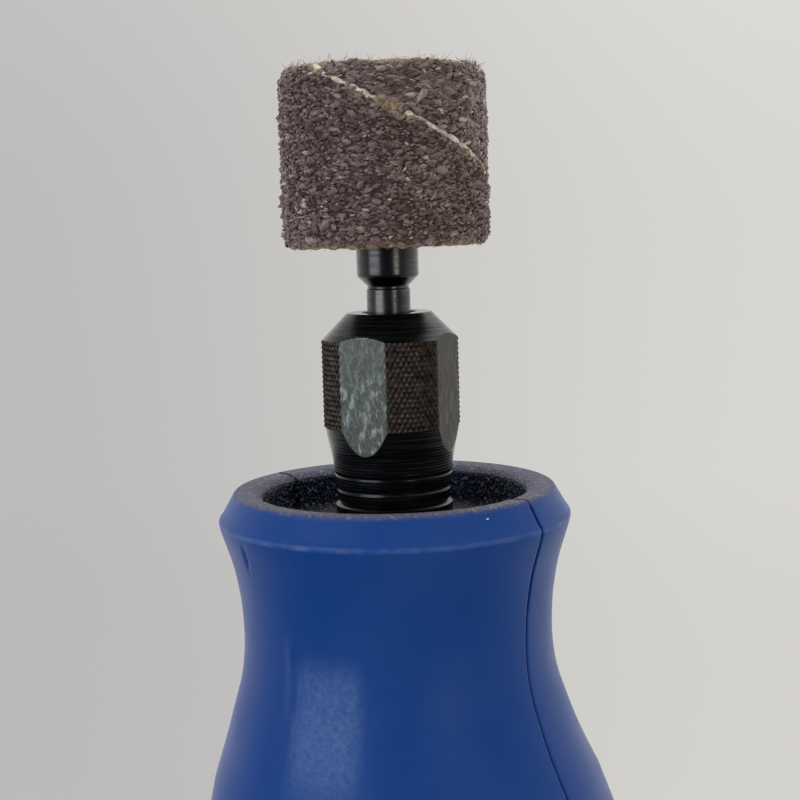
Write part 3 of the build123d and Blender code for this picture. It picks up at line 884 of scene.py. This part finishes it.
def make_grit():
    """Thousands of sharp grains set in the resin, lying mostly along the cloth."""
    seed = bmesh.new()
    bmesh.ops.create_icosphere(seed, subdivisions=1, radius=1.0)
    base = np.array([v.co[:] for v in seed.verts])
    tris = np.array([[v.index for v in f.verts] for f in seed.faces])
    seed.free()
    count = GRAINS
    turn = rng.uniform(0, 360, count)
    z = rng.uniform(SLEEVE_LOW + 0.12, SLEEVE_HIGH - 0.12, count)
    offset = z - (SEAM_Z + SEAM_SLOPE * apart(turn, SEAM_TURN))
    keep = (np.abs(offset) > 0.27) | (rng.uniform(0, 1, count) < 0.08)
    edge = np.minimum(z - SLEEVE_LOW, SLEEVE_HIGH - z)
    keep &= (edge > 0.35) | (rng.uniform(0, 1, count) < 0.5)
    turn, z, offset = turn[keep], z[keep], offset[keep]
    count = len(turn)
    worn = np.clip((offset + 0.4) / 1.2, 0, 1) * (offset < 9)
    size = rng.lognormal(0.0, 0.32, count)
    long_side = 0.20 * size * (1 + 0.35 * worn)
    tall_side = 0.095 * size * rng.uniform(0.7, 1.3, count)
    proud = 0.15 * size * rng.uniform(0.6, 1.35, count) * (1 - 0.35 * worn)
    proud *= np.clip(0.5 + 0.7 * np.minimum(z - SLEEVE_LOW, SLEEVE_HIGH - z), 0, 1)
    spin = np.radians(rng.normal(0, 22, count))
    tip = np.radians(rng.normal(0, 16, count))
    shape = base[None] * (1 + rng.uniform(-0.34, 0.34, (count, len(base), 1)))
    local = np.stack([shape[..., 0] * long_side[:, None], shape[..., 1] * tall_side[:, None],
                      shape[..., 2] * proud[:, None]], axis=-1)
    c, s = np.cos(spin)[:, None], np.sin(spin)[:, None]
    along, up = local[..., 0] * c - local[..., 1] * s, local[..., 0] * s + local[..., 1] * c
    ct, st = np.cos(tip)[:, None], np.sin(tip)[:, None]
    up, out = up * ct - local[..., 2] * st, up * st + local[..., 2] * ct
    radius = np.array([sleeve_surface(h) for h in z]) + 0.05 + rng.uniform(-0.03, 0.03, count)
    a = np.radians(turn)[:, None]
    reach = radius[:, None] + out
    x = reach * np.cos(a) - along * np.sin(a)
    y = reach * np.sin(a) + along * np.cos(a)
    height = np.clip(z[:, None] + up, SLEEVE_LOW - 0.05, SLEEVE_HIGH + 0.05)
    points = np.stack([x, y, height], axis=-1).reshape(-1, 3) * MM
    faces = (tris[None] + (np.arange(count) * len(base))[:, None, None]).reshape(-1, 3)
    mesh = bpy.data.meshes.new("sleeve_grit")
    mesh.from_pydata(points.tolist(), [], faces.tolist())
    obj = placed("sleeve_grit", mesh)
    mesh.shade_flat()
    finish_piece(obj, "sanding_sleeve", "abrasive", GRIT)


def on_sleeve(turn, z, lift):
    return bearing(turn, sleeve_surface(z) + lift) + Vector((0, 0, z))


# Resin lumps on the glue seam: degrees from its middle, drop below it, half width and half height.
RESIN_LUMPS = ((-1.0, 0.0, 0.55, 0.4), (4.0, -0.1, 0.6, 0.5), (9.0, -0.5, 0.5, 0.26), (15.0, -0.4, 0.4, 0.2),
               (-13.0, -0.4, 0.35, 0.25), (-17.0, -0.15, 0.5, 0.15), (50.0, -0.35, 0.42, 0.3),
               (58.0, -0.7, 0.4, 0.42), (68.0, -0.2, 0.35, 0.4), (-37.0, -0.1, 0.5, 0.22),
               (100.0, -0.3, 0.5, 0.3))


def make_glue_seam():
    """Pale line of adhesive where the cloth's ends meet, with resin lumps on it."""
    start = SEAM_TURN + (SLEEVE_HIGH - 0.15 - SEAM_Z) / SEAM_SLOPE
    end = SEAM_TURN + (SLEEVE_LOW + 0.2 - SEAM_Z) / SEAM_SLOPE
    steps = 260
    verts, faces = [], []
    for k in range(steps + 1):
        turn = start + (end - start) * k / steps
        z = SEAM_Z + SEAM_SLOPE * (turn - SEAM_TURN)
        wander = 0.10 * noise.noise(Vector((k * 0.11, 3.0, 0)))
        width = (0.2 + 0.14 * noise.noise(Vector((k * 0.23, 9.0, 0)))
                 + 0.06 * noise.noise(Vector((k * 0.9, 5.0, 0))))
        width = max(0.06, width)
        crest = 0.13 + 0.06 * noise.noise(Vector((k * 0.4, 1.0, 0)))
        for lift, side in ((-0.08, -1.3), (crest * 0.8, -0.6), (crest, 0.1), (crest * 0.7, 0.7),
                           (-0.08, 1.3)):
            verts.append(tuple(on_sleeve(turn, min(SLEEVE_HIGH, z + wander + side * width), lift)))
    for k in range(steps):
        for i in range(5):
            j = (i + 1) % 5
            faces.append((k * 5 + i, (k + 1) * 5 + i, (k + 1) * 5 + j, k * 5 + j))
    faces.append(tuple(range(5)))
    faces.append(tuple(steps * 5 + i for i in reversed(range(5))))
    n = Nodes("glue_line")
    tone = n.noise(0.8, 4.0, 0.65)
    colour = n.mix(n.ramp(tone, 0.35, 0.62), srgb(146, 132, 114), srgb(224, 219, 206))
    glue = n.done(colour, 0.55, 0.0, n.bump(n.noise(0.15, 3.0), 0.05))
    obj = mesh_object("sleeve_glue_line", verts, faces, 70)
    finish_piece(obj, "sanding_sleeve", "abrasive", glue)

    n = Nodes("resin_lump")
    tone = n.noise(0.5, 4.0, 0.65)
    colour = n.mix(n.ramp(tone, 0.35, 0.65), srgb(104, 82, 60), srgb(158, 140, 110))
    resin = n.done(colour, 0.5, 0.0, n.bump(n.noise(0.18, 3.0), 0.06))
    lumps = []
    for turn, drop, wide, tall in RESIN_LUMPS:
        work = bmesh.new()
        bmesh.ops.create_icosphere(work, subdivisions=3, radius=1.0)
        z = SEAM_Z + SEAM_SLOPE * turn + drop
        for v in work.verts:
            p = v.co.copy()
            p *= 1 + 0.35 * noise.noise(p * 1.7 + Vector((turn, 0, 0))) + 0.12 * noise.noise(p * 5.0)
            around = FACING + turn + math.degrees(p.x * wide / SLEEVE_OUT)
            v.co = on_sleeve(around, z + p.y * tall, 0.02 + 0.2 * p.z) * MM
        lump = from_bmesh("lump", work)
        shade(lump, 60)
        lumps.append(lump)
    obj = joined("sleeve_resin_lumps", lumps)
    finish_piece(obj, "sanding_sleeve", "abrasive", resin)


def hairs(name, strands, thickness, colour_a, colour_b):
    """Short loose fibres as thin three-sided tubes. Each strand is a list of points."""
    verts, faces = [], []
    for line in strands:
        base = len(verts)
        for i, p in enumerate(line):
            ahead = line[min(i + 1, len(line) - 1)] - line[max(i - 1, 0)]
            side = ahead.cross(Vector((0.3, 0.7, 0.2))).normalized()
            other = ahead.cross(side).normalized()
            r = thickness * (1 - 0.6 * i / (len(line) - 1))
            for k in range(3):
                a = 2 * math.pi * k / 3
                verts.append(tuple(p + side * r * math.cos(a) + other * r * math.sin(a)))
        faces += [tuple(base + v for v in face) for face in tube_faces(len(line), 3)]
    n = Nodes(name)
    fibre = n.done(n.mix(n.island(), colour_a, colour_b), 0.8)
    obj = mesh_object(name, verts, faces, 80)
    finish_piece(obj, "sanding_sleeve", "abrasive", fibre)


def make_fibres():
    strands = []
    for _ in range(TOP_FIBRES):
        turn = random.uniform(0, 360)
        tuft = 0.55 + 0.45 * noise.noise(Vector((turn * 0.06, 0, 4)))
        z = SLEEVE_HIGH - random.uniform(0.0, 0.35)
        p = on_sleeve(turn, z, random.uniform(-0.25, 0.02))
        out = bearing(turn)
        sideways = Vector((-out.y, out.x, 0)) * random.choice((-1, 1))
        heading = (Vector((0, 0, 1)) * random.uniform(0.2, 0.9) + sideways * random.uniform(0.3, 1.3)
                   + out * random.uniform(-0.4, 0.35)).normalized()
        line, reach = [p.copy()], random.uniform(0.07, 0.2) * tuft * 1.6
        for _ in range(5):
            heading = (heading + Vector([random.uniform(-0.45, 0.45) for _ in range(3)])).normalized()
            p = p + heading * reach
            p.z = min(p.z, SLEEVE_HIGH + 0.75)
            line.append(p.copy())
        strands.append(line)
    for _ in range(FOOT_FIBRES):
        turn = random.uniform(0, 360)
        z = SLEEVE_LOW + random.uniform(0.0, 0.25)
        p = on_sleeve(turn, z, random.uniform(-0.2, 0.03))
        out = bearing(turn)
        sideways = Vector((-out.y, out.x, 0)) * random.choice((-1, 1))
        heading = (sideways * random.uniform(0.6, 1.2) + out * random.uniform(-0.3, 0.3)
                   - Vector((0, 0, random.uniform(0.0, 0.45)))).normalized()
        line = [p.copy()]
        for _ in range(4):
            heading = (heading + Vector([random.uniform(-0.35, 0.35) for _ in range(3)])).normalized()
            p = p + heading * random.uniform(0.04, 0.12)
            line.append(p.copy())
        strands.append(line)
    hairs("sleeve_fibres", strands, 0.022, srgb(134, 128, 100), srgb(186, 172, 146))


make_sleeve_backing()
make_grit()
make_glue_seam()
make_fibres()


# ---- controls and small parts ----------------------------------------------------------------------
def make_lock_button():
    """Round dished button with raised bars, and its retaining flange."""
    line = rounded([(0, 0.0), (5.9, 0.0), (5.9, 1.15), (4.7, 1.2), (4.7, 6.75), (4.1, 6.8), (0, 6.2)],
                   [0, 0.15, 0.15, 0.1, 0.45, 0.3, 0], 4)
    body = turned_along(lathe("cap", line, 72, closed=False), (0, -13.4, LOCK_Z), (0, -1, 0))
    bars = [body]
    for k, half in ((-2, 2.4), (-1, 3.2), (0, 3.5), (1, 3.2), (2, 2.4)):
        z = LOCK_Z + k * 1.25
        bars.append(rounded_box("bar", (-half, -20.15, z - 0.25), (half, -19.3, z + 0.25), 0.12, 2))
    button = joined("lock_button_detail", bars)
    plain_piece(button, "lock_button", "black_plastic", "spindle_lock_button")


def make_lock_spring():
    """Coil spring under the lock button."""
    wire, mean, seat, turns, sides = 0.3, 2.6, -8.4, 4, 10
    length = seat + 13.4
    steps = turns * 28
    verts = []
    for i in range(steps + 1):
        a = 2 * math.pi * turns * i / steps
        x, z, y = mean * math.cos(a), mean * math.sin(a), seat - (length - 2 * wire) * i / steps - wire
        out, along = Vector((math.cos(a), 0, math.sin(a))), Vector((0, 1, 0))
        for k in range(sides):
            b = 2 * math.pi * k / sides
            verts.append(tuple(Vector((x, y, LOCK_Z + z)) + (out * math.cos(b) + along * math.sin(b)) * wire))
    obj = mesh_object("lock_spring_detail", verts, tube_faces(steps + 1, sides), 50)
    plain_piece(obj, "housing", "spring_steel", "lock_spring")
    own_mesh(obj)


def make_power_slider():
    """Thumb pad with grip ribs, its neck and the dust shutter behind it."""
    z = CONTROLS_Z
    pieces = [rounded_box("pad", (-4.5, 25.7, z - 5), (4.5, 27.4, z + 5), 0.6, 4),
              rounded_box("neck", (-2.1, 20.3, z - 3), (2.1, 26.2, z + 3), 0.2, 2),
              rounded_box("shutter", (-3.8, 20.2, z - 9), (3.8, 21.0, z + 8), 0.2, 2)]
    for k in range(-3, 4):
        rib = z + k * 1.2
        pieces.append(rounded_box("rib", (-3.9, 27.1, rib - 0.3), (3.9, 28.0, rib + 0.3), 0.22, 3))
    slider = joined("power_slider_detail", pieces)
    plain_piece(slider, "power_slider", "black_plastic", "power_slider")


def make_speed_dial():
    """Speed thumbwheel: milled edge and the settings 1 to 6 on its rim."""
    wheel_y, wheel_z, rim = -15.5, CONTROLS_Z, 10.28

    def milled(r, z, angle):
        if r > 9.4 and abs(z) > 1.55:
            return r - 0.34 * max(0.0, math.cos(angle * 60)) ** 2
        return r

    line = rounded([(1.56, -2.4), (rim - 0.3, -2.4), (rim, -2.2), (rim, -1.6), (rim - 0.15, -1.5),
                    (rim - 0.15, 1.5), (rim, 1.6), (rim, 2.2), (rim - 0.3, 2.4), (1.56, 2.4)],
                   0.12, 3, closed=True)
    wheel = lathe("wheel", line, 480, change=milled)
    turned_along(wheel, (0, wheel_y, wheel_z), (1, 0, 0))
    wheel.data.materials.append(MATERIALS["black_plastic"])
    n = Nodes("white_ink")
    ink = n.done(n.mix(n.noise(0.4, 3.0), srgb(206, 206, 200), srgb(234, 234, 230)), 0.5)
    pieces = [wheel]
    for k in range(6):
        text = bpy.data.curves.new("figure", "FONT")
        text.body = str(k + 1)
        text.size = 3.1 * MM
        text.extrude = 0.05 * MM
        text.align_x = "CENTER"
        text.align_y = "CENTER"
        holder = placed("figure", text)
        graph = bpy.context.evaluated_depsgraph_get()
        mesh = bpy.data.meshes.new_from_object(holder.evaluated_get(graph))
        bpy.data.objects.remove(holder)
        a = math.radians(45 * k)
        out, up = Vector((0, -math.cos(a), -math.sin(a))), Vector((0, -math.sin(a), math.cos(a)))
        place = looking((Vector((0, wheel_y, wheel_z)) + out * (rim - 0.14)) * MM, out, up)
        mesh.transform(place)
        mesh.materials.clear()
        mesh.materials.append(ink)
        pieces.append(placed("figure", mesh))
    dial = joined("speed_dial_detail", pieces)
    finish_piece(dial, "speed_dial", "black_plastic", None, "speed_dial")


def make_bail():
    """Hanging bail bent from spring wire round the back of the tail, with its ends turned in."""
    radius, z, wire = 26.2, BAIL_Z, 1.3
    route = [(21.9, 0.0), (24.3, 0.0), (25.9, 0.35), (26.25, 1.6)]
    for k in range(1, 24):
        a = math.radians(4 + 172 * k / 24)
        route.append((radius * math.cos(a), radius * math.sin(a)))
    route += [(-26.25, 1.6), (-25.9, 0.35), (-24.3, 0.0), (-21.9, 0.0)]
    line = [Vector((x, y, z)) for x, y in flowing(route, 0.6)]
    verts, sides = [], 20
    for i, p in enumerate(line):
        ahead = (line[min(i + 1, len(line) - 1)] - line[max(i - 1, 0)]).normalized()
        side = Vector((0, 0, 1)).cross(ahead).normalized()
        tip = 0.8 if i in (0, len(line) - 1) else 1.0
        for k in range(sides):
            a = 2 * math.pi * k / sides
            verts.append(tuple(p + (side * math.cos(a) + Vector((0, 0, 1)) * math.sin(a)) * wire * tip))
    obj = mesh_object("hanging_bail_detail", verts, tube_faces(len(line), sides), 50)
    plain_piece(obj, "hanging_bail", "spring_steel", "hanging_bail")


def make_gland():
    """Rubber cord gland, ribbed inside the tail."""
    line = rounded([(3.2, 0.02), (6.88, 0.02), (6.88, 3.3), (8.6, 3.3), (8.6, 5.2), (4.6, 5.2),
                    (4.6, 6.6), (5.0, 6.9), (4.6, 7.2), (4.6, 8.6), (5.0, 8.9), (4.6, 9.2), (4.5, 12.0),
                    (3.2, 12.0)], 0.25, 3, closed=True)
    obj = lathe("cord_gland_detail", line, 72)
    plain_piece(obj, "housing", "black_rubber", "cord_gland")


def make_brush_caps():
    """Slotted screw caps over the carbon brushes."""
    pieces = []
    for side in (-1, 1):
        line = rounded([(0, 0.0), (4.75, 0.0), (4.75, 3.1), (4.3, 3.55), (0, 3.55)], [0, 0.2, 0.3, 0.2, 0], 3)
        cap = lathe("cap", line, 64, closed=False)
        slot_cut = mesh_object("slot_cut", *prism([(-0.65, -6), (0.65, -6), (0.65, 6), (-0.65, 6)],
                                                  Matrix.Translation((0, 0, 2.6)), 3))
        combined(cap, slot_cut, "DIFFERENCE")
        shade(cap, 35)
        pieces.append(turned_along(cap, (side * 21.5, 0, BRUSH_Z), (side, 0, 0)))
    caps = joined("brush_caps_detail", pieces)
    plain_piece(caps, "housing", "black_plastic", "brush_caps")


make_lock_button()
make_lock_spring()
make_power_slider()
make_speed_dial()
make_bail()
make_gland()
make_brush_caps()


# ---- camera, light and floor -----------------------------------------------------------------------
CAMERA_DISTANCE, CAMERA_ABOVE_RIM, AIM_ABOVE_RIM = 112.0, 20.1, 6.3
CAMERA_SHIFT, CAMERA_ROLL = 0.62, -1.65


def turned_about_z(turn, distance, z):
    return (bearing(turn, distance) + Vector((0, 0, z))) * MM


def make_camera():
    view_right = bearing(VIEW_AZIMUTH)
    place = turned_about_z(FACING, CAMERA_DISTANCE, RIM + CAMERA_ABOVE_RIM)
    target = Vector((0, 0, (RIM + AIM_ABOVE_RIM) * MM)) + view_right * CAMERA_SHIFT * MM
    data = bpy.data.cameras.new("camera")
    data.sensor_width = 36.0
    data.lens = 69.3
    data.clip_start = 0.01
    data.clip_end = 50.0
    obj = placed("camera", data)
    obj.location = place + view_right * CAMERA_SHIFT * MM
    turn = (target - obj.location).to_track_quat("-Z", "Y").to_matrix()
    roll = Matrix.Rotation(math.radians(CAMERA_ROLL), 3, "Z")
    obj.rotation_euler = (turn @ roll).to_euler()
    bpy.context.scene.camera = obj


def area_light(name, turn, distance, z, width, height, power, colour, aim_z=None):
    data = bpy.data.lights.new(name, "AREA")
    data.shape = "RECTANGLE"
    data.size, data.size_y = width, height
    data.energy = power
    data.color = colour
    obj = placed(name, data)
    obj.location = turned_about_z(turn, distance, z)
    aim = Vector((0, 0, (RIM if aim_z is None else aim_z) * MM))
    obj.rotation_euler = (aim - obj.location).to_track_quat("-Z", "Y").to_euler()


def make_lights():
    area_light("window", FACING - 50, 2000, RIM + 640, 1.6, 2.1, 21.0, (0.90, 0.96, 1.0))
    area_light("room", FACING + 33, 2000, RIM + 100, 0.5, 1.0, 3.6, (1.0, 0.93, 0.84))
    data = bpy.data.lights.new("ceiling", "SUN")
    data.energy, data.angle = 1.0, math.radians(80)
    data.color = (1.0, 0.98, 0.95)
    ceiling = placed("ceiling", data)
    ceiling.rotation_euler = turned_about_z(FACING + 165, 700, 1500).to_track_quat("Z", "Y").to_euler()
    bpy.context.scene.view_settings.view_transform = "Standard"


def make_world():
    """A room that is dim on the camera's side at rest and pale behind the tool."""
    world = bpy.data.worlds.new("room")
    world.use_nodes = True
    tree = world.node_tree
    direction = tree.nodes.new("ShaderNodeTexCoord")
    behind = tree.nodes.new("ShaderNodeVectorMath")
    behind.operation = "DOT_PRODUCT"
    tree.links.new(direction.outputs["Generated"], behind.inputs[0])
    away = turned_about_z(FACING + 172, 1 / MM, 0).normalized()
    behind.inputs[1].default_value = (away.x * 0.97, away.y * 0.97, 0.24)
    shade_range = tree.nodes.new("ShaderNodeMapRange")
    shade_range.interpolation_type = "SMOOTHSTEP"
    tree.links.new(behind.outputs["Value"], shade_range.inputs["Value"])
    shade_range.inputs["From Min"].default_value = -0.75
    shade_range.inputs["From Max"].default_value = 0.75
    blend = tree.nodes.new("ShaderNodeMix")
    blend.data_type = "RGBA"
    tree.links.new(shade_range.outputs["Result"], blend.inputs["Factor"])
    blend.inputs["A"].default_value = (0.05, 0.052, 0.058, 1)
    blend.inputs["B"].default_value = (0.92, 0.91, 0.88, 1)
    tree.links.new(blend.outputs["Result"], tree.nodes["Background"].inputs["Color"])
    tree.nodes["Background"].inputs["Strength"].default_value = 1.0
    bpy.context.scene.world = world


def backdrop_material():
    """Pale paper lit by the lamps near the tool and glowing far behind it; paper and glow are painted darker
    to the left and lighter to the right, and the glow a little stronger higher up.
    """
    n = Nodes("pale_backdrop")
    radius, z = n.radius()
    to_the_right = n.math("DIVIDE", n.toward(bearing(FACING + 90)), n.math("ADD", radius, 0.001))
    # painted light: a left-to-right gradient on the paper and its glow
    tone = n.ramp(to_the_right, -0.30, 0.30)
    glow = n.mix(tone, srgb(189, 187, 186), srgb(216, 214, 210))
    far = n.ramp(radius, 0.25, 1.1)
    paper = n.mix(tone, (0.53, 0.525, 0.54, 1), (0.70, 0.69, 0.665, 1))
    n.put(n.shader.inputs["Emission Color"], glow)
    lift = n.math("ADD", 1.0, n.ramp(z, 0.0, 2.2, 0.0, 0.1))
    n.put(n.shader.inputs["Emission Strength"], n.times(far, lift))
    return n.done(n.mix(far, paper, (0.0, 0.0, 0.0, 1)), 0.9, 0.0, None, specular_ior_level=0.0)


def make_backdrop():
    """Floor that sweeps up into a pale wall all round."""
    line = [(r, 0.0) for r in (0.0, 0.1, 0.3, 0.6, 1.2, 2.5, 5.0)]
    line += [(5.0 + 3.0 * math.sin(t), 3.0 - 3.0 * math.cos(t)) for t in np.linspace(0.1, math.pi / 2, 16)]
    line.append((8.0, 9.0))
    verts, faces, sides = [], [], 96
    for k in range(sides):
        a = 2 * math.pi * k / sides
        verts += [(r * math.cos(a), r * math.sin(a), z) for r, z in line]
    for k in range(sides):
        m = (k + 1) % sides
        for i in range(len(line) - 1):
            a, b = k * len(line), m * len(line)
            faces.append((a + i, a + i + 1, b + i + 1, b + i))
    mesh = bpy.data.meshes.new("backdrop")
    mesh.from_pydata(verts, [], faces)
    work = bmesh.new()
    work.from_mesh(mesh)
    bmesh.ops.remove_doubles(work, verts=work.verts, dist=1e-6)
    work.to_mesh(mesh)
    work.free()
    mesh.shade_smooth()
    mesh.materials.append(backdrop_material())
    obj = placed("backdrop", mesh)
    obj.location = (0, 0, -0.0002)
    obj.visible_glossy = False


make_camera()
make_lights()
make_world()
make_backdrop()
